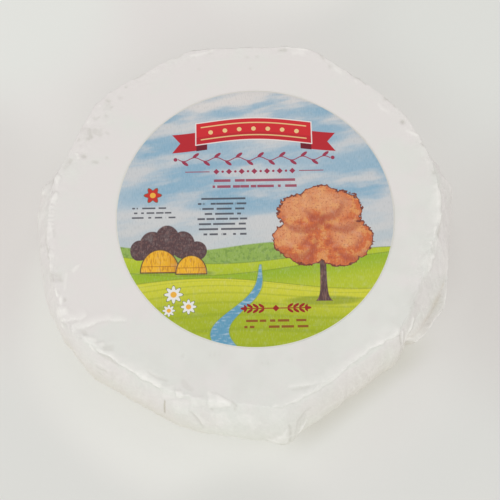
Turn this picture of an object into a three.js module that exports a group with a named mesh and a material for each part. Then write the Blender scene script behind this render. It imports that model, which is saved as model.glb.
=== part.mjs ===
// A wheel of soft goat cheese, shut in thin white paper, with a round paper label on its top.
// Millimetres, +Z up. The origin is on the surface that the wheel stands on, under its middle.
// +X is the right and -Y the front of the wheel, with the label's print upright.
import * as THREE from 'three';

// Driving dimensions
const LEVEL = 40.1; // height of the level top
const CREST_RISE = 0.54; // how far the folded shoulder stands over the level top
const LABEL_RADIUS = 76;
const LABEL_THICKNESS = 0.3;
const LABEL_CENTRE = { x: 5.8, y: 3.3 };
const LABEL_GAP = 0.15;
const LEVEL_RADIUS = 87; // the top is level out to here

// The paper is drawn tight in flats round the cheese. Each flat faces outwards at an angle, in
// degrees from +X, and lies at its reach from the middle. The shoulder is the folded upper edge.
const SHOULDER_FLATS = [
  { faces: 92, reach: 106.7 },
  { faces: 54, reach: 108.2 },
  { faces: 27, reach: 110.0 },
  { faces: 2, reach: 107.3 },
  { faces: -20, reach: 100.6 },
  { faces: -55, reach: 98.6 },
  { faces: -96, reach: 102.5 },
  { faces: -121, reach: 102.8 },
  { faces: -160, reach: 110.0 },
  { faces: -177, reach: 106.8 },
  { faces: 156, reach: 106.1 },
  { faces: 122, reach: 107.3 },
];
const SHOULDER_SHARPNESS = 40;

// The belly is the widest line of the slumped wall
const BELLY_FLATS = [
  { faces: 92, reach: 116.2 },
  { faces: 58, reach: 115.4 },
  { faces: 36, reach: 112.4 },
  { faces: -5, reach: 114.5 },
  { faces: -20, reach: 113.4 },
  { faces: -37, reach: 108.6 },
  { faces: -53, reach: 107.6 },
  { faces: -99, reach: 112.9 },
  { faces: -120, reach: 110.9 },
  { faces: -146, reach: 114.4 },
  { faces: -171, reach: 114.3 },
  { faces: 150, reach: 109.0 },
  { faces: 122, reach: 112.8 },
];
const BELLY_SHARPNESS = 60;

// Wall profile, by the share of the way down from the shoulder
const BELLY_DEPTH = 0.64;
const FOOT_TUCK = 0.34; // how much of its bulge the wall loses again at the foot
const FOOT_ROUNDING = 0.12;
const FOOT_ROUNDING_REACH = 3.4;

// Loose folds of paper stand out of the wall and end in a sharp step at the angle they start from.
// top and hem are shares of the way down. The first is the large one at the right of the front.
const LOOSE_FOLDS = [
  { from: -33.2, full: -18, to: -8, stands: 4.9, top: 0.34, hem: 0.46 },
  { from: -112.8, full: -109, to: -97, stands: 1.2, top: 0.1, hem: 0.3 },
  { from: 62, full: 68, to: 82, stands: 1.4, top: 0.45, hem: 0.62 },
  { from: 106, full: 112, to: 124, stands: 1.4, top: 0.45, hem: 0.62 },
];

// Folded lips of paper that stand up along the shoulder
const LIPS = [
  { middle: -60, spread: 17, rise: 0.6 },
  { middle: -119, spread: 20, rise: 0.6 },
  { middle: -156, spread: 12, rise: 0.78 },
  { middle: 150, spread: 18, rise: 0.3 },
  { middle: 5, spread: 20, rise: 0.42 },
];
const LIP_CURVE = 3; // the higher, the closer a lip keeps to the shoulder

// Pleats of the wall: a ridge or, with a negative rise, a groove, that leans as it goes down
const PLEATS = [
  { at: -39, lean: -3, width: 4.5, rise: 2.0 },
  { at: -35.5, lean: -1, width: 3, rise: -1.2 },
  { at: -71, lean: -5, width: 4, rise: -1.3 },
  { at: -78.5, lean: 0, width: 5, rise: 1.6 },
  { at: -86, lean: 3, width: 4, rise: -0.9 },
  { at: -141, lean: 6, width: 5, rise: 1.0 },
  { at: -152, lean: 4, width: 5, rise: 1.0 },
  { at: 168, lean: -2, width: 4.5, rise: 3.4 },
  { at: 13, lean: 1, width: 3.5, rise: 0.8 },
  { at: 38, lean: -3, width: 5, rise: 1.0 },
  { at: 104, lean: -2, width: 5, rise: 1.0 },
];
const PLEAT_START = 0.35; // the share of the way down by which a pleat has its full rise

// Fineness
const COLUMNS = 156;
const LEVEL_RINGS = [0.3, 0.62, 0.9, 1]; // as a share of the level radius
const RIM_RINGS = [0.3, 0.55, 0.74, 0.88, 0.96]; // from the level top out to the shoulder
const WALL_RINGS = [0, 0.05, 0.11, 0.18, 0.26, 0.34, 0.42, 0.5, 0.58, 0.66, 0.74, 0.82, 0.9, 0.96, 1];
const BASE_RINGS = [0.97, 0.66, 0.33]; // as a share of the foot's radius
const LABEL_COLUMNS = 96;
const STEP_WIDTH = 0.4; // degrees between the two columns of a loose fold's step

const clamp01 = (value) => THREE.MathUtils.clamp(value, 0, 1);
const smooth = (value) => THREE.MathUtils.smoothstep(value, 0, 1);
const radians = THREE.MathUtils.degToRad;

// The shortest way round from one angle to another, in degrees
function turnBetween(angle, other) {
  return THREE.MathUtils.euclideanModulo(angle - other + 180, 360) - 180;
}

// A polygon of flats with rounded corners: the higher the sharpness, the crisper they are
function flatsRadius(flats, sharpness, angle) {
  let sum = 0;
  for (const { faces, reach } of flats) {
    const facing = Math.cos(radians(angle - faces));
    if (facing > 0) sum += (facing / reach) ** sharpness;
  }
  return sum ** (-1 / sharpness);
}

function shoulderRadius(angle) {
  return flatsRadius(SHOULDER_FLATS, SHOULDER_SHARPNESS, angle);
}

function bellyRadius(angle) {
  return flatsRadius(BELLY_FLATS, BELLY_SHARPNESS, angle);
}

function lipRise(angle) {
  let rise = 0;
  for (const lip of LIPS) {
    const away = Math.abs(turnBetween(angle, lip.middle)) / lip.spread;
    rise += lip.rise * smooth(1 - away);
  }
  return rise;
}

// How far the loose folds stand out, at an angle and a share of the way down
function foldStand(angle, down) {
  let stand = 0;
  for (const fold of LOOSE_FOLDS) {
    if (angle < fold.from || angle > fold.to) continue;
    const along = smooth((fold.to - angle) / (fold.to - fold.full));
    const below = smooth((down - fold.top) / (fold.hem - fold.top));
    stand += fold.stands * along * below;
  }
  return stand;
}

// The pleats start under the shoulder and deepen towards the foot, where the paper is gathered
function pleatRise(angle, down) {
  let rise = 0;
  for (const pleat of PLEATS) {
    const middle = pleat.at + pleat.lean * down;
    const away = Math.abs(turnBetween(angle, middle)) / pleat.width;
    rise += pleat.rise * clamp01(1 - away);
  }
  return rise * smooth(down / PLEAT_START);
}

function wallRadius(angle, down) {
  const shoulder = shoulderRadius(angle);
  const bulge = bellyRadius(angle) - shoulder;
  const above = Math.sin(Math.min(down / BELLY_DEPTH, 1) * Math.PI / 2);
  const past = clamp01((down - BELLY_DEPTH) / (1 - BELLY_DEPTH));
  const lean = above - FOOT_TUCK * past ** 2;
  const foot = clamp01((down - 1 + FOOT_ROUNDING) / FOOT_ROUNDING);
  const rounding = FOOT_ROUNDING_REACH * foot ** 3;
  return shoulder + bulge * lean + foldStand(angle, down) + pleatRise(angle, down) - rounding;
}

// Columns stand at even angles, but two of them move onto each loose fold's step, close together
function columnAngles() {
  const angles = [];
  for (let i = 0; i < COLUMNS; i++) angles.push(-180 + i * 360 / COLUMNS);
  for (const { from } of LOOSE_FOLDS) {
    const after = Math.ceil((from + 180) * COLUMNS / 360);
    angles[after - 1] = from - STEP_WIDTH;
    angles[after] = from;
  }
  return angles;
}

// Rings run from the middle of the top, out, down the wall and in again under the base
function ringPoints(angle) {
  const points = [];
  const shoulder = shoulderRadius(angle);
  const lip = lipRise(angle);
  const crest = LEVEL + CREST_RISE + lip;
  for (const share of LEVEL_RINGS) points.push([LEVEL_RADIUS * share, LEVEL]);
  for (const share of RIM_RINGS) {
    const radius = THREE.MathUtils.lerp(LEVEL_RADIUS, shoulder, share);
    points.push([radius, LEVEL + CREST_RISE * share ** 2 + lip * smooth(share) ** LIP_CURVE]);
  }
  for (const down of WALL_RINGS) {
    points.push([wallRadius(angle, down), crest * (1 - down)]);
  }
  const foot = wallRadius(angle, 1);
  for (const share of BASE_RINGS) points.push([foot * share, 0]);
  return points;
}

function wrappedWheelGeometry() {
  const columns = columnAngles().map((angle) => {
    const turn = radians(angle);
    return ringPoints(angle).map(([radius, z]) => [radius * Math.cos(turn), radius * Math.sin(turn), z]);
  });
  const rings = columns[0].length;
  const positions = [0, 0, LEVEL, ...columns.flat(2), 0, 0, 0];
  const last = 1 + columns.length * rings;
  const corner = (column, ring) => 1 + (column % columns.length) * rings + ring;
  const index = [];
  for (let c = 0; c < columns.length; c++) {
    index.push(0, corner(c, 0), corner(c + 1, 0));
    for (let r = 0; r < rings - 1; r++) {
      index.push(corner(c, r), corner(c, r + 1), corner(c + 1, r + 1));
      index.push(corner(c, r), corner(c + 1, r + 1), corner(c + 1, r));
    }
    index.push(corner(c, rings - 1), last, corner(c + 1, rings - 1));
  }
  const geometry = new THREE.BufferGeometry();
  geometry.setAttribute('position', new THREE.Float32BufferAttribute(positions, 3));
  geometry.setIndex(index);
  geometry.computeVertexNormals();
  return geometry;
}

function wrappedWheel() {
  const paper = new THREE.MeshStandardMaterial({ color: 0xdfdcd8, roughness: 0.6, metalness: 0 });
  const mesh = new THREE.Mesh(wrappedWheelGeometry(), paper);
  mesh.name = 'wrapped_wheel';
  return mesh;
}

// A cut disc of printed paper that lies on the level top
function label() {
  const printed = new THREE.MeshStandardMaterial({ color: 0xa9b77a, roughness: 0.5, metalness: 0 });
  const disc = new THREE.CylinderGeometry(LABEL_RADIUS, LABEL_RADIUS, LABEL_THICKNESS, LABEL_COLUMNS);
  disc.rotateX(Math.PI / 2);
  const mesh = new THREE.Mesh(disc, printed);
  mesh.name = 'label';
  mesh.position.set(LABEL_CENTRE.x, LABEL_CENTRE.y, LEVEL + LABEL_GAP + LABEL_THICKNESS / 2);
  return mesh;
}

const cheese = new THREE.Group();
cheese.add(wrappedWheel(), label());

export default cheese;
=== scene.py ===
"""A wheel of soft goat cheese shut in creased white paper, with a round printed label.

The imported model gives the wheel's solid and the label's place. This script dresses them: a finely
creased paper skin, a loose fold that stands off its wall, and a label with a painted landscape.
Shapes are worked out in millimetres round the wheel's own middle and written in metres.
"""
import itertools
import math

import bpy
import numpy as np
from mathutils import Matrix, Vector


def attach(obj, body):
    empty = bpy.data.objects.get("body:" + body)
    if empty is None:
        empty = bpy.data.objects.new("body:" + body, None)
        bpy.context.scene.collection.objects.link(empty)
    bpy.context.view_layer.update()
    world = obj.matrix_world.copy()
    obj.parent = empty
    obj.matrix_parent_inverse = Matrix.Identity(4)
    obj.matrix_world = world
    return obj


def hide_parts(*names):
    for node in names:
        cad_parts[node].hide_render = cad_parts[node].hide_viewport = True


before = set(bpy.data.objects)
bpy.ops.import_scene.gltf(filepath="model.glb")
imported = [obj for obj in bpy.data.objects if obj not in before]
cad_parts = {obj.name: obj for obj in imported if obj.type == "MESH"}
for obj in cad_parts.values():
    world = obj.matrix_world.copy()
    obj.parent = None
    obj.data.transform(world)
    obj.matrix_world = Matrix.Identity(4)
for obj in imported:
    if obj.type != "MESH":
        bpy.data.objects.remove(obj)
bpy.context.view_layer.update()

MM = 0.001


def table(text):
    """Rows of numbers, with commas between the rows."""
    return [[float(number) for number in row.split()] for row in text.split(",")]


# Sizes that the folds and the label are laid out by
WALL_LENGTH = 46.0  # of paper, from the shoulder down to the foot
WHEEL_RADIUS = 105.0
MM_A_DEGREE = math.radians(1) * WHEEL_RADIUS  # round the wheel
LABEL_GAP = 0.05

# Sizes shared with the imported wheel, in millimetres and degrees
LABEL_RADIUS = 76.0
LABEL_CENTRE = (5.8, 3.3)
LABEL_THICKNESS = 0.3
LEVEL = 40.1  # height of the level top
LEVEL_RADIUS = 87.0
CREST_RISE = 0.54  # how far the shoulder stands over the level top
BELLY_DEPTH = 0.64  # the share of the way down at which the wall is widest
FOOT_TUCK = 0.34  # how much of its bulge the wall loses again at the foot
FOOT_ROUNDING = 0.12
FOOT_ROUNDING_REACH = 3.4
PLEAT_START = 0.35  # the share of the way down by which a pleat has its full rise

# Flats of the tightly drawn paper: the angle that each faces, and its reach from the middle
SHOULDER_FLATS = table("""
92 106.7, 54 108.2, 27 110, 2 107.3, -20 100.6, -55 98.6, -96 102.5, -121 102.8, -160 110, -177 106.8,
156 106.1, 122 107.3
""")
SHOULDER_SHARPNESS = 40
BELLY_FLATS = table("""
92 116.2, 58 115.4, 36 112.4, -5 114.5, -20 113.4, -37 108.6, -53 107.6, -99 112.9, -120 110.9,
-146 114.4, -171 114.3, 150 109, 122 112.8
""")
BELLY_SHARPNESS = 60

# Wall pleats: angle, lean on the way down, width and rise
PLEATS = table("""
-39 -3 4.5 2, -35.5 -1 3 -1.2, -71 -5 4 -1.3, -78.5 0 5 1.6, -86 3 4 -.9, -141 6 5 1, -152 4 5 1,
168 -2 4.5 3.4, 13 1 3.5 .8, 38 -3 5 1, 104 -2 5 1
""")

# Camera, fitted to the photograph's view of the label
CAMERA_ELEVATION = 68.63
CAMERA_DISTANCE = 0.7668
CAMERA_AIM = (0.00294, -0.01728, 0.0404)
CAMERA_FIELD = 20.0


# Camera, light and floor

def make_camera():
    data = bpy.data.cameras.new("camera")
    data.angle = math.radians(CAMERA_FIELD)
    camera = bpy.data.objects.new("camera", data)
    tilt = math.radians(CAMERA_ELEVATION)
    back = Vector((0, -math.cos(tilt), math.sin(tilt)))
    camera.location = Vector(CAMERA_AIM) + back * CAMERA_DISTANCE
    camera.rotation_euler = (math.pi / 2 - tilt, 0, 0)
    bpy.context.scene.collection.objects.link(camera)
    bpy.context.scene.camera = camera


def make_light(name, place, size, power, colour):
    """A soft square light that faces the wheel."""
    data = bpy.data.lights.new(name, "AREA")
    data.size = size
    data.energy = power
    data.color = colour
    light = bpy.data.objects.new(name, data)
    light.location = place
    light.rotation_euler = (-Vector(place)).to_track_quat("-Z", "Y").to_euler()
    bpy.context.scene.collection.objects.link(light)


def make_surroundings():
    world = bpy.data.worlds.new("pale room")
    world.use_nodes = True
    room = world.node_tree.nodes["Background"]
    room.inputs["Color"].default_value = (1.0, 0.99, 0.985, 1)
    room.inputs["Strength"].default_value = 0.48
    scene = bpy.context.scene
    scene.world = world
    scene.view_settings.view_transform = "Standard"
    make_light("front light", (-0.25, -1.3, 1.0), 1.4, 9.4, (0.98, 1.0, 0.985))
    make_light("left light", (-1.4, 0.1, 0.8), 1.2, 5.8, (1.0, 0.98, 0.98))
    make_light("right light", (1.3, -0.4, 0.7), 1.2, 5.0, (1.0, 0.98, 0.98))
    make_light("back light", (0.2, 1.2, 1.2), 1.2, 4.9, (1.0, 0.96, 0.96))


# Random forms, the same in every run

def hashed(cells, seed):
    """A number from 0 to 1 for each whole cell."""
    x, y, z = (cells[..., i].astype(np.int64).astype(np.uint32) for i in range(3))
    mixed = x * np.uint32(73856093) ^ y * np.uint32(19349663) ^ z * np.uint32(83492791)
    mixed = mixed ^ np.uint32(seed * 7919 + 101)
    mixed = (mixed ^ (mixed >> np.uint32(13))) * np.uint32(1274126177)
    mixed = mixed ^ (mixed >> np.uint32(16))
    return (mixed & np.uint32(0xFFFFFF)) / float(0x1000000)


def soft_noise(points, seed):
    """Smooth noise from -1 to 1, with lumps about one unit across."""
    cell = np.floor(points)
    part = points - cell
    part = part * part * (3 - 2 * part)
    total = np.zeros(points.shape[:-1])
    for corner in itertools.product((0, 1), repeat=3):
        weight = np.prod(np.where(corner, part, 1 - part), axis=-1)
        total += weight * hashed(cell + corner, seed)
    return total * 2 - 1


def cell_distances(points, seed):
    """Distances to the nearest and the second nearest of scattered points, one in each unit cell."""
    base = np.floor(points)
    first = np.full(points.shape[:-1], 9.0)
    second = first.copy()
    for step in itertools.product((-1, 0, 1), repeat=3):
        cell = base + step
        jitter = np.stack([hashed(cell, seed + i) for i in range(3)], -1)
        away = np.linalg.norm(points - cell - jitter, axis=-1)
        second = np.minimum(second, np.maximum(first, away))
        first = np.minimum(first, away)
    return first, second


def zigzag(value):
    """A triangle wave from -1 to 1, with one turn to the unit."""
    return 4 * np.abs(value - np.floor(value + 0.5)) - 1


def smooth(value):
    value = np.clip(value, 0, 1)
    return value * value * (3 - 2 * value)


def soft_step(value, soft):
    """1 above soft, 0 below its negative, smooth between."""
    return smooth((value + soft) / (2 * soft))


def bell(value, middle, reach):
    """1 in the middle, fading out on both sides."""
    return np.exp(-((value - middle) / reach) ** 2)


# The wheel's plain form

def turn_between(angle, other):
    return (angle - other + 180) % 360 - 180


def flats_radius(flats, sharpness, angle):
    """A polygon of flats with rounded corners."""
    total = np.zeros_like(angle)
    for faces, reach in flats:
        facing = np.clip(np.cos(np.radians(angle - faces)), 0, None)
        total += (facing / reach) ** sharpness
    return total ** (-1 / sharpness)


def shoulder_radius(angle):
    return flats_radius(SHOULDER_FLATS, SHOULDER_SHARPNESS, angle)


def pleat_rise(angle, down):
    rise = np.zeros(np.broadcast(angle, down).shape)
    for at, lean, width, height in PLEATS:
        away = np.abs(turn_between(angle, at + lean * down)) / width
        rise += height * np.clip(1 - away, 0, 1)
    return rise * smooth(down / PLEAT_START)


def wall_radius(angle, down):
    """The wall's radius at an angle and a share of the way down."""
    shoulder = shoulder_radius(angle)
    bulge = flats_radius(BELLY_FLATS, BELLY_SHARPNESS, angle) - shoulder
    above = np.sin(np.minimum(down / BELLY_DEPTH, 1) * math.pi / 2)
    past = np.clip((down - BELLY_DEPTH) / (1 - BELLY_DEPTH), 0, 1)
    foot = np.clip((down - 1 + FOOT_ROUNDING) / FOOT_ROUNDING, 0, 1)
    lean = above - FOOT_TUCK * past ** 2
    return shoulder + bulge * lean + pleat_rise(angle, down) - FOOT_ROUNDING_REACH * foot ** 3


# The paper's folds, patches, pits and crumples

def point_rows(text):
    """Rows of values, a colon, a table of points and a semicolon. A line that starts with # is a remark."""
    lines = [line for line in text.splitlines() if not line.startswith("#")]
    rows = [row.split(":") for row in " ".join(lines).split(";")[:-1]]
    return [(table(points), *table(values)[0]) for values, points in rows]


# Folds: the rise, how white the paper is painted there, which is partly whitened paper and partly a painted
# highlight (below 0: how grey, as painted shade), and where a layer's edge shows, with a painted shadow
# beyond
# it (1 on the left of the way that the fold runs, -1 on the right, 0 where none does). Then its points:
# degrees round, millimetres past the shoulder, and half width
FOLDS = point_rows("""
# Lower left, on the top
.7 .85 1: -145.6 -2.6 .5, -144.7 -6 .8, -144.3 -9.6 1, -143.7 -13.2 1.2, -142.2 -18.3 1.2, -137.2 -22.6 .5;
.8 .75 1: -150.5 7 .6, -148.5 -2 .8, -147.6 -8 1.2, -147 -12.5 .5;
.6 .65 -1: -144.5 1 .6, -146.2 -2.5 .8, -146 -7.5 .7;
-.5 -.5 0: -148.6 5 .5, -147.4 2.5 .8;
-.45 -.4 0: -144.4 -5.5 .6, -143 -4 1.1, -141.6 -3 .6;
.5 .7 0: -139.6 1 .9, -136.6 3.5 .6;
.9 .9 1: -137 1.5 .5, -134.2 -.4 .8, -130.5 0 .8, -127.5 .4 .9;
-.6 -.5 0: -136.4 3.2 .6, -133.5 2.8 1.4, -131 2.8 1.3, -128.4 2.8 .6;
# Front left, along the shoulder
.95 1 1: -129 .2 1, -125.5 -.6 1.7, -122 -.5 1.8, -118.5 -.2 1.7, -114.6 .6 1.4;
.6 .7 0: -108.6 1 .9, -105.6 -1 .5;
-.5 -.4 0: -121 -3.2 .5, -117 -3 1, -113.4 -4.4 .7;
-.3 -.25 0: -110.4 -8 .9, -108 -5.4 2.2, -105.2 -3.4 1.3;
-.6 -.45 0: -94.2 -1 .5, -92.6 1.5 1, -92.9 6 .7;
-.6 -.6 0: -100.2 6 .8, -98.4 7 .7;
# Front left, on the wall
-.6 -.5 0: -135.6 14.8 .4, -133 14.4 .7, -131 12.8 .5;
-.5 -.45 0: -134.4 18.6 .4, -131.4 21.7 .6;
.5 .5 0: -136 11.6 .4, -133 11 .7, -130.4 9.6 .4;
# Front wall
-.6 -.5 0: -105.4 10.5 .5, -103.3 14.5 .8, -101.8 20 .7, -101 25 .4;
.5 .5 0: -104 10 .4, -102 15 .7, -100.6 20 .5;
.4 .35 0: -89 9 .6, -87.5 15 .9, -88 20 .5;
# Front right, along the shoulder, and the fold above it
.85 .65 1: -82 -.4 .4, -78.5 -.4 .8, -74 0 .9, -69.5 .9 .9, -65.5 .9 1.2, -62.5 .3 1.6, -59.5 0 1.4,
    -56.6 -.4 .9, -52.8 -1.1 .8, -47 -1.2 .9;
1.2 .95 1: -49 -1.2 .7, -45.8 -1.3 1.2, -42.3 -.8 1.8, -39 0 2.2, -37.2 2.6 1;
.6 .6 1: -76.8 -8.6 .3, -73 -6.3 .6, -69 -3 .7, -64.6 -.8 .9;
-.4 -.35 0: -75.8 -6.2 .6, -72.6 -4.4 1.3, -69.2 -2.6 .7;
# Beside the loose fold
-.9 -.8 0: -37.5 3.4 .5, -38 8 .7, -38.6 14 .6;
.9 .9 0: -30.4 7 .5, -32 10 .7, -34.4 15 .8, -36.2 23 .8, -37.4 29 .5;
.8 .8 0: -36.2 4 .6, -37.3 11 .7, -38.4 20 .6;
# Front corner and its tuck
-.9 -.6 0: -78.1 11 .4, -78 19 .6, -78.3 28 .5;
-.6 -.42 0: -76.4 21 .5, -75.2 15 .8, -73 12.2 .7, -70.6 13 .4;
.7 .8 0: -76.8 28 .6, -74.6 24.5 1, -72.4 19.5 .6;
# Right
.8 .95 -1: 12 -.6 .5, 8 0 1, 4.5 .2 1.4, 2.5 .2 1.4, -1 1.2 .6;
.5 .7 0: -1.4 -.6 .4, -6 .4 .7;
-.5 -.6 0: .2 3.2 .7, -2.4 3.7 1.2, -5.2 4.1 .8;
.6 .8 0: -7 -2.2 .5, -8.4 1.8 .7;
.6 .6 0: -4.8 3.6 .6, -9.4 5 .7;
.9 .95 -1: -10.2 4 .7, -13.4 3 1.7, -16.6 2.1 .8;
# Left
.8 1 0: 157 -2.4 .5, 156.8 -4.8 1, 158.3 -7.4 .5;
-.5 -.5 0: 158.4 -3.2 .7, 161 -2.4 1.4;
-.5 -.55 0: 157.6 -13.6 .8, 156.6 -18.4 1;
.8 .8 0: 164.9 -.8 .7, 166.5 -1.2 1.5, 168.7 -2.2 .8;
-.6 -.6 0: 165 6.4 .6, 166.6 3 .9, 168.8 .8 .5;
.9 .85 0: 170.4 -2.8 .5, 172.4 -2 1.5, 174.2 -1.3 1;
.6 .75 -1: -178.6 -.6 1, -177.4 -.9 1.4, -175.4 -1.3 1.3, -174 -1.8 .8;
-.7 -.7 0: -177.6 2.6 .4, -175 4.6 .7, -172.6 3.9 .6, -167.8 1.8 .4;
.6 .55 0: -171.4 -.8 .9, -168.7 -1.1 1.4, -166.8 -.4 .8;
.6 .8 0: -166.8 1.8 .5, -164.8 -1.4 .6;
.4 .35 0: -162.8 -8 .7, -159.8 -6.4 1, -156.8 -4.6 .5;
.8 1 0: -159.2 .3 .5, -157.5 -.3 1.1, -155.8 -.5 .6;
.7 1 0: -156.2 -1.8 .5, -155 -1.8 1, -153.4 -1.4 .5;
-.5 -.6 0: -155.4 -4 .4, -153.6 -3.8 .6;
.5 .6 0: -161.8 -11 .4, -163 -13.4 1.4, -164.2 -16.2 .4;
# Upper left
-.7 -.75 0: 136.6 -1.1 .5, 136.3 -5.3 .9;
-.5 -.6 0: 137.9 -6.6 .5, 136.9 -8.6 .7;
.6 .6 0: 140.2 -2.6 .5, 138.8 -1.6 .9;
-.6 -.6 0: 147 -3.4 .5, 149.3 -7.2 1.2, 151.5 -6 .7;
-.4 -.35 0: 145.3 -12.4 .6, 145.5 -16.5 .9;
-.4 -.4 0: 147.8 -5.5 1.2, 147 -8.5 1.8, 147.2 -13 1.1;
-.4 -.5 0: 152.9 -19.7 .4, 154.2 -22 .6;
-.6 -.6 0: 129.8 -1 .5, 129 -3.4 .9;
.5 .5 0: 146.6 -1.4 .5, 144.4 -1.8 .7;
.5 .5 0: 135.6 -.4 .5, 134 -.6 .6;
-.5 -.5 0: 153 -1.2 .4, 151.2 -1.8 .7;
-.5 -.45 0: 141.8 -6.4 .4, 143.6 -4.2 .8, 143.2 -2 .4;
# Back
-.4 -.45 0: 126.5 0 .4, 121.5 -.4 .6;
.4 .5 0: 120.8 -2 .5, 118.4 -2.6 .8;
-.4 -.45 0: 112.5 -.8 .4, 108.5 -.6 .6;
.6 .7 0: 107.5 -2.8 .5, 103.5 -2.6 .8, 99.5 -.7 .6;
-.6 -.65 0: 80 -2 .5, 76.8 -2.2 .8;
.6 .7 0: 78 -.4 .4, 73.5 -.6 .8, 70 -.4 .4;
# Back wall
.8 .6 1: -173 8 .6, -174.5 18 1.1, -174 30 1.2;
1 .7 -1: 171 5 .7, 168.5 15 1.3, 167.5 27 1.5, 168 38 .8;
-.8 -.5 0: 157 6 .6, 158 17 1.2, 157.4 30 1;
1.2 .8 1: 141.5 3 .8, 144 13 1.4, 145.2 25 1.7, 144.6 37 .9;
-.9 -.5 0: 131 8 .7, 129.6 18 1.3, 130.4 31 1;
.9 .7 -1: 124 14 .6, 120.6 21 1.4, 117.6 31 1.2;
1.3 .8 1: 106.6 2 .9, 104.8 12 1.5, 104.2 25 1.8, 105 38 1;
-.9 -.55 0: 98.6 5 .8, 99.6 15 1.4, 99 28 1.2;
.9 .6 -1: 88 17 .7, 92.4 24 1.4, 95 33 1.1;
1.1 .75 -1: 77.4 3 .8, 79.4 14 1.4, 80 27 1.6, 79 38 .9;
-.9 -.5 0: 70 7 .8, 69 19 1.4, 70 32 1.1;
1.2 .8 1: 58.6 4 .8, 56 14 1.5, 55 27 1.7, 56 38 .9;
.8 .5 0: 47 12 .7, 49.8 21 1.3, 51 32 1.1;
1 .7 1: 36.4 5 .7, 38 15 1.3, 38.4 28 1.5, 37.4 38 .8;
-.8 -.5 0: 27 7 .7, 25.6 19 1.3, 26.2 31 1;
.9 .6 -1: 14.8 6 .7, 13 16 1.2, 12.6 29 1.2;
# Upper right
-.5 -.55 0: 67.8 -.2 .6, 65.2 -1.6 1;
-.5 -.6 0: 57 .6 .5, 54 .2 .8, 50 0 .6;
.5 .6 0: 54.8 -1.8 .7, 52.6 -2.6 1;
-.5 -.6 0: 44.6 .5 .5, 41.6 .2 .8, 38.6 .2 .5;
.4 .45 0: 44 -5.6 .7, 41.4 -6.4 1.3, 38.8 -5.2 .8;
.7 .9 0: 31.6 -4.8 .5, 29.4 -2.4 .9, 27.4 -.4 .6;
-.6 -.6 0: 25.8 -1.2 .5, 23.8 .2 .8;
.4 .45 0: 21 -2.4 .5, 18 -2.2 .8;
""")
# A run of short teeth where the left shoulder's edge is pinched
TEETH = (174.2, 1.35, 7)  # first, pitch and count, in degrees
FOLDS += [
    ([(TEETH[0] + TEETH[1] * i, 0.4, 0.4), (TEETH[0] + 0.3 + TEETH[1] * i, -4.0, 0.35)], 0.9, 0.85, 0)
    for i in range(TEETH[2])
]

FOLD_RISE = 0.62

# Flat patches: rise and whiteness, which is partly whitened paper and partly a painted highlight (below 0:
# greyness, as painted shade), then corners in the same terms
PATCHES = point_rows("""
.9 .75: -138.8 -1, -136.9 -6.4, -135.9 -4, -136.2 .8;
-.5 -.4: -136.4 -3.4, -134.3 -7.6, -132.6 -3.4, -135 -.6;
.6 .8: -142.6 -2.4, -139.4 -5, -137.6 -1.6, -140.6 1.2;
.6 .9: -155 6, -152.4 -4.6, -150 -3.4, -151.6 9;
.7 .9: -150.8 9, -149.6 6.8, -148.4 9, -149.4 12.4;
.2 .35: -147 -4.6, -146.4 -10.8, -144.4 -10, -145.2 -4;
.6 .4: -115.2 -.6, -111.4 -4, -109.8 4.8, -113.8 9.6;
.9 1: -110.4 -1, -108.6 -2.2, -107.6 2, -109.6 3.6;
.5 .4: -106 -.5, -101.6 -2, -101 4, -105 7;
.3 .35: -110.8 6, -106.4 5, -105.8 14, -109.6 17;
.3 .35: -99.6 9, -95.2 7, -93.4 15, -97.4 19;
.3 .35: -92.6 7, -88.6 6.6, -85.2 13, -90.4 15;
.7 .85: -101 -5, -98.2 -4, -93.6 -.3, -93.8 2.6, -100.2 5.2;
.8 .85: -85 29.6, -78.9 14, -79.1 29;
-.6 -.45: -164.4 2.4, -162.6 -5.8, -160 -5, -162 4.6;
.3 -.25: 139.7 -5.7, 136.8 -.7, 135.1 -2.8, 138.2 -8.8;
.4 -.25: 152.5 -2.9, 148.6 .8, 147.2 -4.4, 151.1 -7.4;
-.4 -.35: 163.1 -3.5, 159.3 -3.9, 159 -1, 162.8 -.6;
.4 .5: 75.6 -1.6, 75.2 -4.6, 71.2 -4.6, 71.8 -1.2;
.5 .6: 62.5 -.6, 61.6 -3.4, 58.6 -3.2, 59.4 -.4;
0 .35: 179 5, 167 6, 167 30, 179 28;
0 .4: -5 13, -13.5 15, -14 26, -6 34;
.2 -.25: -18.4 1.4, -27.6 -2.2, -35 3, -33.4 24, -21.3 18, -15.4 16.5;
""")

# Small pits: degrees round, millimetres past the shoulder, radius and depth
PITS = table("""
156.4 -8.6 1.5 .9, 140.6 -8.6 1.1 .5, 145.6 -10.4 1 .4, 133 -6 1.2 .4, 63 -3 1.1 .5, 43.3 -.6 1.2 .6,
34.2 -3 1.3 1, 28.8 -.8 1 .4, 15.3 -.4 1.3 .8, 86 -5.4 1 .4, 89.3 -5.8 .9 .4, 88 -12.9 .9 .4,
100.7 -2 1.2 .5, 105.6 -11.8 .9 .3, -112.9 -20 1 .3, -103.3 -24.3 .8 .3, -101.6 -24.6 .8 .3,
-99.6 -24.9 .8 .3, -83.5 -23.4 .8 .3, -81.3 -23.6 .8 .3, -72.4 -20.6 .9 .25
""")

# The gap under the free edge of a layer on the front wall: its points, as for folds, and its depth
GAP = [(-112.9, 9, 0.3), (-112.7, 15, 0.55), (-112.5, 24, 0.3)]
GAP_DEPTH = 0.4

# Where the paper is finely crumpled: degrees round, spread, millimetres past the shoulder, spread
# and strength
CRUMPLES = table("""
150 26 -5 10 .5, 173 16 0 5 .9, -168 22 1 5 .9, -147 14 3 10 .75, -128 22 16 16 .75, -100 22 16 18 .6,
-78 12 26 20 .7, -52 24 20 20 .75, -12 14 2 9 .9, 6 14 6 12 .8, 32 26 0 8 .6, 75 46 0 6 .5, 115 26 0 8 .6
""")
RIM_CRUMPLE = 0.12  # the least strength on the top's rim
WALL_CRUMPLE = 0.45  # and on the wall

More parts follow.
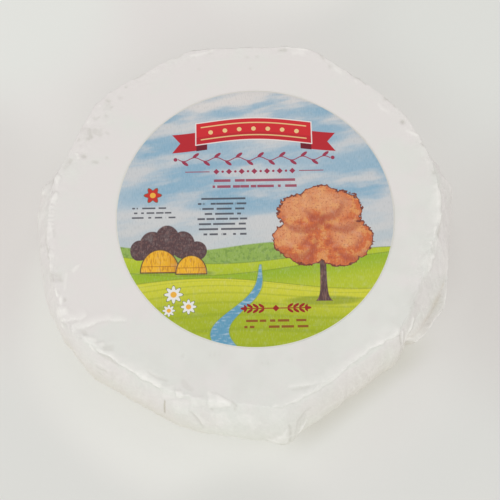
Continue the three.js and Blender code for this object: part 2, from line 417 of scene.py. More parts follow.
# Facets of crumpled paper: the way across each set of folds, and the length from one to the next
FACET_WAYS = [
    ((0.9, 0.3, 0.2), 10.0), ((-0.4, 0.9, 0.1), 7.5), ((0.5, -0.7, 0.9), 5.6), ((0.3, 0.8, -0.9), 4.4),
]
FACET_BEND, BEND_SIZE = 3.0, 9.0  # how far the sets are bent, and over what size
CELL, FINE_CELL = 4.2, 2.2  # sizes of the irregular facets

END_FADE = 1.4  # how far along a fold its ends fade


def beside_route(angle, past, route):
    """Millimetres from a route, above 0 on its left, with its half width there and a fade at its ends."""
    best = np.full(angle.shape, 1e9)
    side, half, passed = np.ones(angle.shape), np.zeros(angle.shape), np.zeros(angle.shape)
    whole = 0.0
    for (a0, s0, w0), (a1, s1, w1) in zip(route, route[1:]):
        run = np.array([turn_between(a1, a0) * MM_A_DEGREE, s1 - s0])
        length = np.hypot(*run)
        run = run / length
        dx, dy = turn_between(angle, a0) * MM_A_DEGREE, past - s0
        along = np.clip(dx * run[0] + dy * run[1], 0, length)
        away = np.hypot(dx - along * run[0], dy - along * run[1])
        nearer = away < best
        best = np.where(nearer, away, best)
        side = np.where(nearer, np.where(dy * run[0] > dx * run[1], 1, -1), side)
        half = np.where(nearer, w0 + (w1 - w0) * along / length, half)
        passed = np.where(nearer, whole + along, passed)
        whole += length
    return best * side, half, smooth(passed / END_FADE) * smooth((whole - passed) / END_FADE)


def folded(angle, past, form):
    """The rise of all folds, and how white (whitened paper and painted highlight) and how grey (painted
    shade) the paper is on and beside them.
    """
    up, down, white, grey = (np.zeros(angle.shape) for _ in range(4))
    wider = 1 + 0.45 * soft_noise(form / 4.5, 61)
    aside = 0.5 * soft_noise(form / 3.5, 62)
    for route, height, bright, edge in FOLDS:
        across, half, ends = beside_route(angle, past, route)
        across = (across + aside) * (edge or 1)
        half = half * wider
        band = soft_step(half - np.abs(across), 0.65) * ends
        rises = soft_step(half - np.abs(across), 0.6)
        if edge:
            inner = 1 + (across - half) / (4 * half + 2)
            rises = np.where(across > half, smooth((half + 0.5 - across) / 0.5), np.clip(inner, 0, 1))
            band = np.where(across > half, band, np.clip(inner, 0, 1) ** 1.5 * ends)
            # a painted shadow just beyond a layer's edge
            beyond = bell(across - half, 0.9, 0.6)
            grey = np.maximum(grey, 0.28 * abs(bright) * beyond * ends)
        up = np.maximum(up, height * rises * ends)
        down = np.minimum(down, height * rises * ends)
        white = np.maximum(white, bright * band)
        grey = np.maximum(grey, -bright * band)
    return FOLD_RISE * (up + down), white, grey


def patched(angle, past, form):
    """The rise, whiteness (whitened paper and painted highlight) and greyness (painted shade) of the flat
    patches.
    """
    rise, white, grey = (np.zeros(angle.shape) for _ in range(3))
    aside = 0.6 * soft_noise(form / 2.5, 63)
    for corners, height, bright in PATCHES:
        first = corners[0][0]
        x, y = turn_between(angle, first) * MM_A_DEGREE, past
        sides = [(turn_between(a, first) * MM_A_DEGREE, s) for a, s in corners]
        ways = list(zip(sides, sides[1:] + sides[:1]))
        area = sum(x0 * y1 - x1 * y0 for (x0, y0), (x1, y1) in ways)
        inside = np.full(angle.shape, 1e9)
        for (x0, y0), (x1, y1) in ways:
            off = ((x1 - x0) * (y - y0) - (y1 - y0) * (x - x0)) / math.hypot(x1 - x0, y1 - y0)
            inside = np.minimum(inside, off * math.copysign(1, area))
        rise += height * smooth((inside + 0.5) / 1.8)
        share = 0.75 * smooth((inside + 0.6 + aside) / 1.3)
        white = np.maximum(white, bright * share)
        grey = np.maximum(grey, -bright * share)
    return rise, white, grey


def pitted(angle, past):
    depth = np.zeros(angle.shape)
    for at, off, radius, deep in PITS:
        away = np.hypot(turn_between(angle, at) * MM_A_DEGREE, past - off)
        depth += deep * bell(away, 0, radius)
    return depth


def gaping(angle, past):
    """1 in the gap, fading out beside it and at its ends."""
    across, half, ends = beside_route(angle, past, GAP)
    return soft_step(half - np.abs(across), 0.25) * ends


def crumple_strength(angle, past):
    strength = np.where(past < 0, RIM_CRUMPLE * smooth((past + 16) / 12), WALL_CRUMPLE)
    for at, spread, off, reach, amount in CRUMPLES:
        near = np.exp(-1.6 * ((turn_between(angle, at) / spread) ** 2 + ((past - off) / reach) ** 2))
        strength = np.maximum(strength, amount * near)
    return strength


def crumpled(points):
    """Facets of crumpled paper, about 1 mm deep, and how near each point is to one of their edges."""
    drawn = points - [0, 0, LEVEL]
    drawn[..., 2] *= 0.5
    bent = drawn + FACET_BEND * np.stack([soft_noise(drawn / BEND_SIZE, 31 + i) for i in range(3)], -1)
    waves = [zigzag(bent @ np.array(way) / length + 0.37 * i) for i, (way, length) in enumerate(FACET_WAYS)]
    folds = 0.5 * np.maximum(waves[0], waves[1]) + 0.36 * np.minimum(waves[2], waves[3])
    first, second = cell_distances(bent / CELL, 5)
    fine, fine_second = cell_distances(bent / FINE_CELL, 11)
    folds += 0.5 * (0.5 - first) + 0.2 * (0.5 - fine)
    return folds, 0.6 * bell(second - first, 0, 0.09) + 0.4 * bell(fine_second - fine, 0, 0.1)


DRAPE_RISE = 0.55
DRAPES = [(0.45, 9.0, 81), (-0.35, 12.0, 82), (0.0, 6.5, 83)]  # slant, width and seed


def draped(angle, past):
    """Long folds that run down the wall, slanting either way, and the line along the top of each."""
    rise, line = np.zeros(angle.shape), np.zeros(angle.shape)
    for slant, width, seed in DRAPES:
        along = (angle * MM_A_DEGREE + slant * past) / width
        wave = soft_noise(np.stack([along, past / 34.0, past * 0], -1), seed)
        near = 1 - np.abs(wave)
        rise += DRAPE_RISE / 2 * near ** 4
        line = np.maximum(line, smooth((near - 0.93) / 0.07) * smooth(np.abs(wave - 0.1) + 0.2))
    on_wall = smooth((past - 3) / 8)
    fuller = 1 + 0.9 * smooth(0.3 + 1.2 * np.sin(np.radians(angle)))
    return (rise - DRAPE_RISE / 2) * on_wall * fuller, line * on_wall


# Meshes

def new_piece(name, points, faces, layers=None):
    """A mesh object at the origin. Points are in millimetres; layers are numbers for each point."""
    mesh = bpy.data.meshes.new(name)
    mesh.from_pydata((np.asarray(points) * MM).tolist(), [], faces)
    for layer, values in (layers or {}).items():
        attribute = mesh.attributes.new(layer, "FLOAT", "POINT")
        attribute.data.foreach_set("value", np.asarray(values, np.float32).ravel())
    mesh.polygons.foreach_set("use_smooth", [True] * len(mesh.polygons))
    mesh.update()
    piece = bpy.data.objects.new(name, mesh)
    bpy.context.scene.collection.objects.link(piece)
    return piece


def ring(radius, turn, height, middle=(0, 0)):
    """Points round an upright axis, at turns in radians."""
    x, y = middle[0] + radius * np.cos(turn), middle[1] + radius * np.sin(turn)
    return np.stack([x, y, np.broadcast_to(height, turn.shape)], -1)


def unit(vectors):
    return vectors / np.linalg.norm(vectors, axis=-1, keepdims=True).clip(1e-9)


def grid_normals(points):
    """Outward normals of a grid of rings and columns that closes round."""
    around = np.roll(points, -1, axis=1) - np.roll(points, 1, axis=1)
    return unit(np.cross(np.gradient(points, axis=0), around))


def closed_grid_faces(rings, columns):
    """Quads between rings, with a fan to a point at each end. The end points come last."""
    faces, end = [], rings * columns
    for c in range(columns):
        here, there = range(c, end, columns), range((c + 1) % columns, end, columns)
        faces.append((end, here[0], there[0]))
        faces += zip(here, here[1:], there[1:], there)
        faces.append((here[-1], end + 1, there[-1]))
    return faces


COLUMNS = 780
SPARSE_MIDDLE, SPARSE_REACH = 80, 50  # of the side with fewer columns, in degrees
CLOSER_COLUMNS = [(-112.7, 0.8, 2.5), (-36, 3, 0.8), (-78.3, 2, 0.8)]  # angle, spread and amount
RIM_RINGS = 40
RIM_CROWDING = 1.2  # above 1, rings stand closer together at the shoulder
WALL_RINGS = 62
INNER_RADII = [3, 12, 24, 36, 48, 58, 66, 72, 75]
RIM_START = 78.0
OPEN_RADIUS = 79.5  # past it the paper is creased, clear of the label
UNDER_RADII = [0.985, 0.965, 0.94, 0.91, 0.87, 0.82, 0.76, 0.69, 0.6, 0.5, 0.4, 0.3, 0.2, 0.1]


def under_folds(x, y):
    """Height of the gathered paper under the base, where pleats turn in to the middle."""
    angle, radius = np.degrees(np.arctan2(y, x)), np.hypot(x, y)
    swirl = radius / WHEEL_RADIUS
    broad = 0.55 * np.abs(zigzag((angle + 26 * swirl) / 36.0))
    narrow = 0.3 * np.abs(zigzag((angle - 15 * swirl) / 22.5 + 0.2))
    return (broad + narrow) * smooth((radius - 12) / 30) * smooth((118 - radius) / 20)


def column_angles():
    """Angles round the wheel, further apart round one side and closer together at a few places."""
    fine = np.linspace(-180, 180, 7201)
    density = 1.4 - 0.3 * smooth((SPARSE_REACH - np.abs(turn_between(fine, SPARSE_MIDDLE))) / 10)
    for at, spread, amount in CLOSER_COLUMNS:
        density += amount * bell(fine, at, spread)
    filled = np.concatenate([[0], np.cumsum((density[1:] + density[:-1]) / 2)])
    return np.interp(np.arange(COLUMNS) / COLUMNS * filled[-1], filled, fine)


def make_wrap():
    """The whole skin of paper: top, shoulder, wall and gathered underside."""
    angle = column_angles()
    turn = np.radians(angle)
    shoulder = shoulder_radius(angle)
    wave = ring(1, turn, 0.0)
    shoulder_wave = 0.45 * soft_noise(wave * 11, 3) + 0.3 * soft_noise(wave * 28, 4)
    rings, pasts = [], []
    for radius in INNER_RADII:
        rings.append((radius, LEVEL))
        pasts.append(radius - shoulder)
    for share in 1 - np.linspace(1, 0, RIM_RINGS) ** RIM_CROWDING:
        radius = RIM_START + (shoulder - RIM_START) * share
        rise = CREST_RISE * np.clip((radius - LEVEL_RADIUS) / (shoulder - LEVEL_RADIUS), 0, 1) ** 2
        rings.append((radius + shoulder_wave * smooth((share - 0.6) / 0.4), LEVEL + rise))
        pasts.append(radius - shoulder)
    crest = LEVEL + CREST_RISE
    for down in np.linspace(0, 1, WALL_RINGS + 1)[1:]:
        radius = wall_radius(angle, down) + shoulder_wave * smooth(1 - down * 3)
        rings.append((radius, crest * (1 - down)))
        pasts.append(np.full_like(angle, down * WALL_LENGTH))
    foot = rings[-1][0]
    for share in UNDER_RADII:
        rings.append((foot * share, 0.0))
        pasts.append(WALL_LENGTH + foot * (1 - share))
    form = np.array([ring(radius, turn, height) for radius, height in rings])
    past = np.array(pasts)
    around = np.broadcast_to(angle, past.shape)
    normals = grid_normals(form)

    rise, white, grey = folded(around, past, form)
    patch_rise, patch_white, patch_grey = patched(around, past, form)
    pits = pitted(around, past)
    gap = gaping(around, past)
    strength = crumple_strength(around, past)
    folds, edges = crumpled(form)
    open_paper = smooth((past + shoulder - OPEN_RADIUS) / 4)
    foot_fade = smooth((WALL_LENGTH + 4 - past) / 8)
    slack = 0.22 * soft_noise(form / 26.0, 21) + 0.1 * soft_noise(form / 11.0, 22)
    drape, drape_edge = draped(around, past)
    moved = rise + patch_rise + strength * folds + slack + drape - pits - GAP_DEPTH * gap
    form = form + normals * (moved * open_paper * foot_fade)[..., None]
    gathered = under_folds(form[..., 0], form[..., 1])
    form[..., 2] = np.where(past > WALL_LENGTH, gathered, np.maximum(form[..., 2], 0))

    patchy = 0.75 + 0.4 * soft_noise(form / 2.6, 51)
    white = np.maximum(white, patch_white) * patchy
    layers = {
        # whitened paper and painted highlights on folds, patches, crumple edges and the crests of the drapes
        "whitened_and_highlit": np.clip(white + strength * edges * 0.45 + 0.4 * drape_edge, 0, 1) * open_paper,
        # painted shade: grey in fold valleys, beside layer edges, on grey patches, in pits and in the gap
        "painted_shade": np.clip(np.maximum(grey, patch_grey) + 0.8 * pits + gap, 0, 1),
        "crumpled": np.clip(strength, 0, 1) * open_paper,
        # darker painted shade in the gap
        "deep": 0.18 * gap,
    }
    layers = {name: np.append(values.ravel(), [0, 0]) for name, values in layers.items()}
    ends = [[0, 0, LEVEL], [0, 0, 0]]
    points = np.concatenate([form.reshape(-1, 3), ends])
    return new_piece("paper_wrap", points, closed_grid_faces(len(rings), COLUMNS), layers)


# The loose fold at the lower right, place by place along it: degrees round, the height where it leaves
# the wall, then the height of its valley and the valley's distance from the wheel's axis, both again
# for its free edge, and the distance of its foot
LOOSE_FOLD = table("""
-35.8 23 22 106.6 21 106.8 103,
-34.9 24 22.6 107 22 107.8 103.6,
-34.1 25 22.8 108.2 21.8 112.9 105,
-33 27 22.6 109.4 22 113.4 106.5,
-31 29 22.3 110.3 22.2 113.9 107.5,
-28.7 30 22 110.8 22.4 114.8 108.5,
-25 31 22 111.5 22.8 116.1 109.5,
-22.2 31 22 111.9 23.2 117.4 110,
-20 31 22.2 112.5 23.2 117 110,
-17.4 30 22.2 112.9 22.6 116.2 109.5,
-15 29 22.2 113.5 21.6 115.2 108.5,
-12 27 21 113.2 20 114.5 107.8,
-7 23 19 114 17 114.2 108
""")
LOOSE_COLUMNS = 110
# The rows of points at which the valley and the free edge lie, and how many rows there are
VALLEY_ROW, EDGE_ROW, LOOSE_ROWS = 12, 24, 42
# Soft spots on the fold: degrees round and their reach, row and its reach, and strength. The dark spots are
# painted shade in the valley, and the pale spots are painted paler.
DARK_SPOTS = [(-21.3, 2.4, 12, 3.6, 0.16), (-26.3, 2.4, 12, 1.6, 0.11), (-16.0, 0.9, 12, 2.0, 0.15)]
PALE_SPOTS = [(-33, 2.4, 19, 6, 0.4)]
PAPER_THICKNESS = 0.35
SUNK = 0.4  # how far inside the wall's plain form the fold starts, and how high its foot is


def spotted(angle, row, spots):
    """The strength of soft spots along one row."""
    return sum(
        strength * bell(angle, at, reach) * bell(row, middle, rows)
        for at, reach, middle, rows, strength in spots
    )


def make_loose_fold():
    """A flap of paper whose free edge stands off the wall, with a valley behind it."""
    knots = np.array(LOOSE_FOLD)
    angle = np.linspace(knots[0, 0], knots[-1, 0], LOOSE_COLUMNS)
    start, low, valley, high, edge, foot = (np.interp(angle, knots[:, 0], knots[:, i]) for i in range(1, 7))
    wall = wall_radius(angle, 1 - start / (LEVEL + CREST_RISE)) - SUNK
    turn = np.radians(angle)
    wander = 0.5 * soft_noise(np.stack([angle / 2.2, angle * 0, angle * 0], -1), 71)
    # The first and last row of each part, its height and radius at both, and the curve of its radius
    parts = [
        (0, VALLEY_ROW, start, low, wall, valley, 0.8),
        (VALLEY_ROW, EDGE_ROW, low, high, valley, edge, 1),
        (EDGE_ROW, LOOSE_ROWS - 1, high, SUNK, edge, foot, 1.5),
    ]
    rows, layers = [], {"whitened_and_highlit": [], "deep": [], "painted_shade": []}
    for row in range(LOOSE_ROWS):
        first, last, top, bottom, near, far, curve = next(part for part in parts if row <= part[1])
        share = (row - first) / (last - first)
        radius = near + (far - near) * share ** curve + wander * bell(row, EDGE_ROW, 4)
        rows.append(ring(radius, turn, top + (bottom - top) * share))
        pale = spotted(angle, row, PALE_SPOTS) + 0.4 * smooth((angle + 15) / 5)
        # paler paper towards the end, and a painted highlight along the free edge
        layers["whitened_and_highlit"].append(np.maximum(pale, 0.65 * bell(row, EDGE_ROW, 1.8)))
        # painted shade in the valley behind the free edge
        layers["deep"].append(spotted(angle, row, DARK_SPOTS) + 0.06 * bell(row, VALLEY_ROW, 1.5))
        # painted shade on the upper rows in the middle of the loose fold
        painted_shade = 0.2 * smooth((angle + 32) / 5) * smooth((-11 - angle) / 5)
        layers["painted_shade"].append(painted_shade * (row < EDGE_ROW - 3))
    form = np.array(rows)
    normals = unit(np.cross(np.gradient(form, axis=1), np.gradient(form, axis=0)))
    normals *= np.sign((normals * (form * [1, 1, 0] + [0, 0, 60])).sum(-1, keepdims=True))
    folds, edges = crumpled(form)
    form = form + normals * (0.3 * folds)[..., None]
    form[..., 2] = np.maximum(form[..., 2], 0.3)
    points = np.concatenate([form.reshape(-1, 3), (form - normals * PAPER_THICKNESS).reshape(-1, 3)])
    layers["whitened_and_highlit"] = np.clip(np.array(layers["whitened_and_highlit"]) + 0.3 * edges, 0, 1)
    layers["crumpled"] = np.full(edges.shape, 0.6)
    layers = {name: np.tile(np.ravel(values), 2) for name, values in layers.items()}
    back = LOOSE_ROWS * LOOSE_COLUMNS
    grid = np.arange(back).reshape(LOOSE_ROWS, LOOSE_COLUMNS).tolist()
    faces = []
    for near, far in zip(grid, grid[1:]):
        for a, b in zip(near[:-1], far):
            faces.append((a, b, b + 1, a + 1))
            faces.append((back + a, back + a + 1, back + b + 1, back + b))
    border = grid[0] + [row[-1] for row in grid[1:]] + grid[-1][-2::-1] + [row[0] for row in grid[-2:0:-1]]
    for a, b in zip(border, border[1:] + border[:1]):
        faces.append((a, b, back + b, back + a))
    return new_piece("loose_fold", points, faces, layers)


LABEL_COLUMNS, LABEL_RINGS = 220, 26
CUT_EDGE, CUT_DROP = 0.15, 0.08  # width and depth of the label's rounded edge


def make_label():
    """A thin disc that lies on the level top, with a cut edge."""
    radii = [*np.linspace(4, LABEL_RADIUS - CUT_EDGE, LABEL_RINGS)]
    turn = np.arange(LABEL_COLUMNS) / LABEL_COLUMNS * 2 * math.pi
    bottom, top = LEVEL + LABEL_GAP, LEVEL + LABEL_GAP + LABEL_THICKNESS
    rings = [(radius, top) for radius in radii] + [(LABEL_RADIUS, top - CUT_DROP)]
    rings += [(radius, bottom) for radius in (LABEL_RADIUS, *radii[::-4])]
    form = np.array([ring(radius, turn, height, LABEL_CENTRE) for radius, height in rings])
    inside = 1 - np.hypot(form[..., 0] - LABEL_CENTRE[0], form[..., 1] - LABEL_CENTRE[1]) / LABEL_RADIUS
    form[..., 2] += 0.1 * np.clip(soft_noise(form * [1, 1, 0] / 30.0, 41) + 0.5, 0, 1) * smooth(inside / 0.3)
    ends = [[*LABEL_CENTRE, top], [*LABEL_CENTRE, bottom]]
    points = np.concatenate([form.reshape(-1, 3), ends])
    return new_piece("printed_label", points, closed_grid_faces(len(rings), LABEL_COLUMNS))


# Materials

class Signal:
    """A material's value that varies over the surface. Arithmetic on it adds Math nodes."""

    def __init__(self, finish, socket):
        self.finish = finish
        self.socket = socket

    def math(self, operation, *others):
        return self.finish.math(operation, self, *others)

    def __add__(self, other):
        return self.math("ADD", other)

    def __sub__(self, other):
        return self.math("SUBTRACT", other)

    def __rsub__(self, other):
        return self.finish.math("SUBTRACT", other, self)

    def __mul__(self, other):
        return self.math("MULTIPLY", other)

    def __truediv__(self, other):
        return self.math("DIVIDE", other)

    def __abs__(self):
        return self.math("ABSOLUTE")

    __radd__ = __add__
    __rmul__ = __mul__

    def rise(self, start, end):
        """0 below start, 1 past end, smooth between."""
        sockets = {"Value": self, "From Min": start, "From Max": end}
        return self.finish.node("MapRange", sockets, interpolation_type="SMOOTHSTEP")

    def fall(self, start, end):
        """1 below start, 0 past end, smooth between."""
        return 1 - self.rise(start, end)

    def between(self, low, high, soft=0.15):
        """1 from low to high, with soft ends."""
        return self.rise(low - soft, low + soft) * self.fall(high - soft, high + soft)


def tone(colour, light=1.0):
    """A colour from 0 to 255, as it looks on a screen under such light, in the shader's own numbers."""
    return tuple(min(((v / 255 + 0.055) / 1.055) ** 2.4 / light, 1.0) for v in colour) + (1.0,)


class Finish:
    """A node material with a Principled BSDF. Its colour is painted in layers, each over the last."""

    light = 1.0  # how bright white looks, for the colours that it is painted in

    def __init__(self, name, **constants):
        self.material = bpy.data.materials.new(name)
        self.material.use_nodes = True
        self.tree = self.material.node_tree
        self.shader = self.tree.nodes["Principled BSDF"]
        self.colour = None
        for socket, value in constants.items():
            self.shader.inputs[socket.replace("_", " ")].default_value = value

    def node(self, kind, sockets, output=0, **settings):
        """Adds a node with its settings and each socket's value or link, and gives one of its outputs."""
        node = self.tree.nodes.new("ShaderNode" + kind)
        for name, value in settings.items():
            setattr(node, name, value)
        for key, value in sockets.items():
            self.feed(node.inputs[key], value)
        return Signal(self, node.outputs[output])

    def feed(self, socket, value):
        if isinstance(value, Signal):
            self.tree.links.new(value.socket, socket)
        else:
            socket.default_value = value

    def put(self, socket, value):
        self.feed(self.shader.inputs[socket], value)

    def math(self, operation, *values):
        return self.node("Math", dict(enumerate(values)), operation=operation)

    def vector(self, operation, *values, output=0):
        return self.node("VectorMath", dict(enumerate(values)), output, operation=operation)

    def mix(self, share, low, high):
        return self.node("Mix", {0: share, 6: low, 7: high}, 2, data_type="RGBA")

    def paint(self, share, colour):
        self.colour = self.mix(share, self.colour, tone(colour, self.light))

    def place(self):
        """The surface point in millimetres."""
        return self.stretched(self.node("TexCoord", {}, "Object"), (1 / MM, 1 / MM, 1 / MM))

    def stretched(self, place, stretch):
        return self.vector("MULTIPLY", place, stretch)

    def noise(self, place, size, detail=2.0, roughness=0.5):
        """Noise from 0 to 1 with lumps of a size in millimetres."""
        sockets = {"Vector": place, "Scale": 1 / size, "Detail": detail, "Roughness": roughness}
        return self.node("TexNoise", sockets)

    def distance(self, place, point):
        return self.vector("DISTANCE", place, point, output="Value")

    def along(self, place, way):
        return self.vector("DOT_PRODUCT", place, way, output="Value")

    def layer(self, name):
        return self.node("Attribute", {}, "Fac", attribute_name=name)

    def bump(self, height, distance, strength=1.0):
        sockets = {"Height": height, "Distance": distance, "Strength": strength}
        self.put("Normal", self.node("Bump", sockets))


FRONT_CORNER = (8, -112, 20)  # the front corner of the wall, in millimetres
FRONT_RIGHT = (0.6, -0.8, 0)  # the way that the front right wall faces


def wrap_paper():
    paper = Finish("waxed white paper", Roughness=0.42, IOR=1.45)
    place = paper.place()
    height = paper.along(place, (0, 0, 1))
    corner = paper.distance(place, FRONT_CORNER).fall(15, 55)
    # painted light: the front light's greener tint on the front of the top and near the front corner
    front_light_tint = paper.along(place, (0.5, -0.87, 0)).rise(-30, 80) * height.rise(36, 40).math("MAXIMUM", corner)
    mottle = paper.noise(place, 3.2)
    creased = paper.layer("crumpled")
    paper.colour = tone((231, 227, 224))
    paper.paint((paper.noise(place, 16.0, 3.0) + front_light_tint * 0.25).rise(0.42, 0.82), (228, 229, 223))
    paper.paint(paper.noise(place, 12.0, 1.0).rise(0.4, 0.7) * front_light_tint * 0.3, (218, 218, 212))
    paper.paint(mottle.rise(0.5, 0.72) * creased * 0.3, (216, 214, 207))
    front_wall = height.fall(4.0, 38.0) * paper.along(place, (0, -1, 0)).rise(20, 80)
    warm = paper.mix(corner, tone((222, 217, 204)), tone((231, 231, 220)))
    paper.colour = paper.mix(front_wall * 0.75, paper.colour, warm)
    # painted shade on the front right wall, below the top
    paper.paint(height.fall(34, 39) * paper.along(place, FRONT_RIGHT).rise(95, 107) * 0.3, (211, 208, 198))
    # painted shade in creases, dents, pits and the gap
    paper.paint(paper.layer("painted_shade"), (206, 204, 196))
    # whitened paper and painted highlights on folds and crests
    paper.paint(paper.layer("whitened_and_highlit"), (248, 246, 241))
    # darker painted shade in the gap and in the loose fold's valley
    paper.paint(paper.layer("deep"), (178, 154, 98))
    paper.put("Base Color", paper.colour)
    cells = {"Vector": place, "Scale": 1 / 2.4}
    edges = paper.node("TexVoronoi", cells, "Distance", feature="DISTANCE_TO_EDGE")
    creases = edges.fall(0.0, 0.25) * creased
    paper.bump(paper.noise(place, 0.7) * 0.1 + creases * 0.5 + mottle * 0.25, 0.0004, 0.5)
    return paper.material


# Light and dim pools on the table: place, the reach of the full pool and of its edge, and colour
FLOOR_POOLS = [
    (-60, 150, 40, 150, (244, 238, 235)),
    (20, 230, 60, 95, (250, 248, 243)),
    (-95, 95, 20, 70, (250, 245, 242)),
    (-150, 170, 45, 100, (248, 251, 245)),
    (155, 160, 45, 105, (236, 239, 233)),
    (0, -5, 112, 165, (246, 243, 238)),
    (-180, 5, 45, 105, (233, 226, 222)),
    (-16, -39, 88, 118, (253, 253, 246)),
    (185, -18, 45, 112, (220, 214, 209)),
    (0, -185, 35, 68, (224, 225, 219)),
]
# The shade along the foot at the lower right: the way that side faces, and its distance and length
SHADE_FACES = -53
SHADE_FROM = 106
SHADE_TO = 119
SHADE_HALF_LENGTH = 58
SHADE_END = 30


def floor_paint():
    """A table that glows, with painted pools of light and shade in its glow and a painted shadow along the
    wheel's foot, so that shadows on it stay faint.
    """
    glowing = Finish("milky table", Roughness=0.6, Emission_Strength=0.42)
    place = glowing.place()
    glowing.colour = tone((230, 231, 226))
    for x, y, full, edge, colour in FLOOR_POOLS:
        glowing.paint(glowing.distance(place, (x, y, 0)).fall(full, edge), colour)
    turn = math.radians(SHADE_FACES)
    out = glowing.along(place, (math.cos(turn), math.sin(turn), 0))
    aside = abs(glowing.along(place, (-math.sin(turn), math.cos(turn), 0)))
    shade = out.rise(0, SHADE_FROM) * out.fall(SHADE_FROM, SHADE_TO)
    glowing.paint(shade * aside.fall(SHADE_HALF_LENGTH - SHADE_END, SHADE_HALF_LENGTH), (224, 221, 209))
    glowing.put("Emission Color", glowing.colour)
    glowing.put("Base Color", glowing.mix(glowing.noise(place, 60.0), tone((165, 165, 162)), tone((167, 166, 163))))
    glowing.bump(glowing.noise(place, 1.5), 0.00005)
    return glowing.material


# The label's print

PRINT_TURN = 1.0  # degrees, counter-clockwise
RIM_WHITE = 0.45  # width of the bare cut edge
HORIZON = -20.0
CLOUD_SLANT = -0.16  # radians
CLOUD_STRETCH = (0.26, 1, 1)
STRAW_STRETCH = (1, 0.22, 1)


class Picture(Finish):
    """Print in millimetres from the label's middle, u to the right and v up."""

    light = 0.98

    def __init__(self, name, **constants):
        super().__init__(name, **constants)
        middle = (*LABEL_CENTRE, 0)
        sockets = {"Vector": self.place(), "Center": middle, "Angle": -math.radians(PRINT_TURN)}
        turned = self.node("VectorRotate", sockets, rotation_type="Z_AXIS")
        self.where = self.stretched(self.vector("SUBTRACT", turned, middle), (1, 1, 0))
        self.u, self.v = (self.node("SeparateXYZ", {0: self.where}, axis) for axis in "XY")

    def wave(self, height, swing, length, start):
        """The height of a wavy skyline at each u."""
        return (self.u / length + start).math("SINE") * swing + height

    def below(self, height, soft=0.3):
        return (height - self.v).rise(-soft, soft)

    def oval(self, u, v, wide, high, soft=0.06):
        """An upright oval's inside, with its half width and half height."""
        across, up = (self.u - u) / wide, (self.v - v) / high
        return (across * across + up * up).fall(1 - soft, 1 + soft)

    def reach(self, across, up):
        return (across * across + up * up).math("SQRT")

    def block(self, left, right, bottom, top):
        return self.u.between(left, right) * self.v.between(bottom, top)

    def either(self, *shares):
        whole = shares[0]
        for share in shares[1:]:
            whole = whole.math("MAXIMUM", share)
        return whole

    def combined(self, x, y):
        return self.node("CombineXYZ", {"X": x, "Y": y})

    def repeated(self, value, pitch, start=0.0):
        """Millimetres from the nearest of a row of points that begins at start."""
        return (((value - start) / pitch + 0.5).math("FRACT") - 0.5) * pitch

    def leaf(self, along, across, long, thick, lean):
        """A slim oval that leans over, with its half length and half thickness."""
        turn = math.radians(lean)
        far = (along * math.cos(turn) + across * math.sin(turn)) / long
        aside = (across * math.cos(turn) - along * math.sin(turn)) / thick
        return (far * far + aside * aside).fall(0.8, 1.2)

    def bars(self, left, right, top, lines, pitch, tall, seed):
        """Rows of plain bars of uneven length."""
        row = (top - self.v) / pitch
        line = row.math("FLOOR")
        down = row.math("FRACT") * pitch
        band = down.rise(0, 0.15) * down.fall(tall - 0.15, tall)
        drawn = self.noise(self.combined(self.u, line * 9.3 + seed), tall * 2.0, 0.0).rise(0.37, 0.41)
        ragged = self.noise(self.combined(seed, line * 3.7), 1.0, 0.0) * (right - left) * 0.2
        inside = (self.u - ragged).rise(left - 0.1, left + 0.1)
        inside = inside * (self.u + ragged).fall(right - 0.1, right + 0.1)
        return band * drawn * inside * line.between(-0.5, lines - 0.5, 0.1)


def sky(art):
    slanted = art.node("VectorRotate", {"Vector": art.where, "Angle": CLOUD_SLANT}, rotation_type="Z_AXIS")
    drawn = art.stretched(slanted, CLOUD_STRETCH)
    clouds = art.noise(drawn, 15.0, 4.0, 0.55)
    art.colour = tone((142, 178, 200), art.light)
    art.paint(art.noise(drawn, 30.0, 1.0).rise(0.4, 0.62), (180, 197, 208))
    art.paint(clouds.rise(0.42, 0.62) * 0.92, (206, 207, 208))
    art.paint(art.v.rise(44, 72) * clouds.rise(0.34, 0.56) * 0.9, (222, 217, 213))
    art.paint(art.v.rise(20, 44) * art.v.fall(52, 66) * clouds.fall(0.36, 0.56) * 0.6, (132, 172, 196))
    art.paint(art.v.fall(HORIZON, HORIZON + 30) * 0.7, (205, 206, 204))


def fields(art):
    far = art.wave(HORIZON + 1.5, 2.4, 17.0, 0.8)
    art.paint(art.below(far, 0.5), (146, 176, 84))
    art.paint(art.below(far) * art.noise(art.where, 2.4).rise(0.5, 0.62) * 0.5, (104, 136, 62))
    middle = art.wave(HORIZON - 4.0, 4.2, 31.0, -0.9)
    right = art.wave(HORIZON - 8.0, 7.0, 44.0, -0.8)
    front = art.wave(HORIZON - 20.0, 3.6, 27.0, 2.6)
    for skyline, crest, down, soft, share, foot in (
        (middle, (182, 198, 46), 6, 6.0, 0.6, (146, 176, 36)),
        (right, (150, 181, 40), 7, 7.0, 0.7, (194, 202, 50)),
        (front, (208, 208, 58), 12, 11.0, 0.85, (156, 175, 26)),
    ):
        art.paint(art.below(skyline), crest)
        art.paint(art.below(skyline - down, soft) * share, foot)
    furrow = (abs(front - art.v).math("SQRT") * 7.5 + art.u * 0.05).math("SINE")
    art.paint(art.below(front) * furrow.rise(0.55, 0.95) * 0.25, (128, 150, 30))
    for skyline in (middle, right, front):
        art.paint(abs(skyline - art.v).fall(0.1, 0.45) * 0.45, (104, 126, 40))


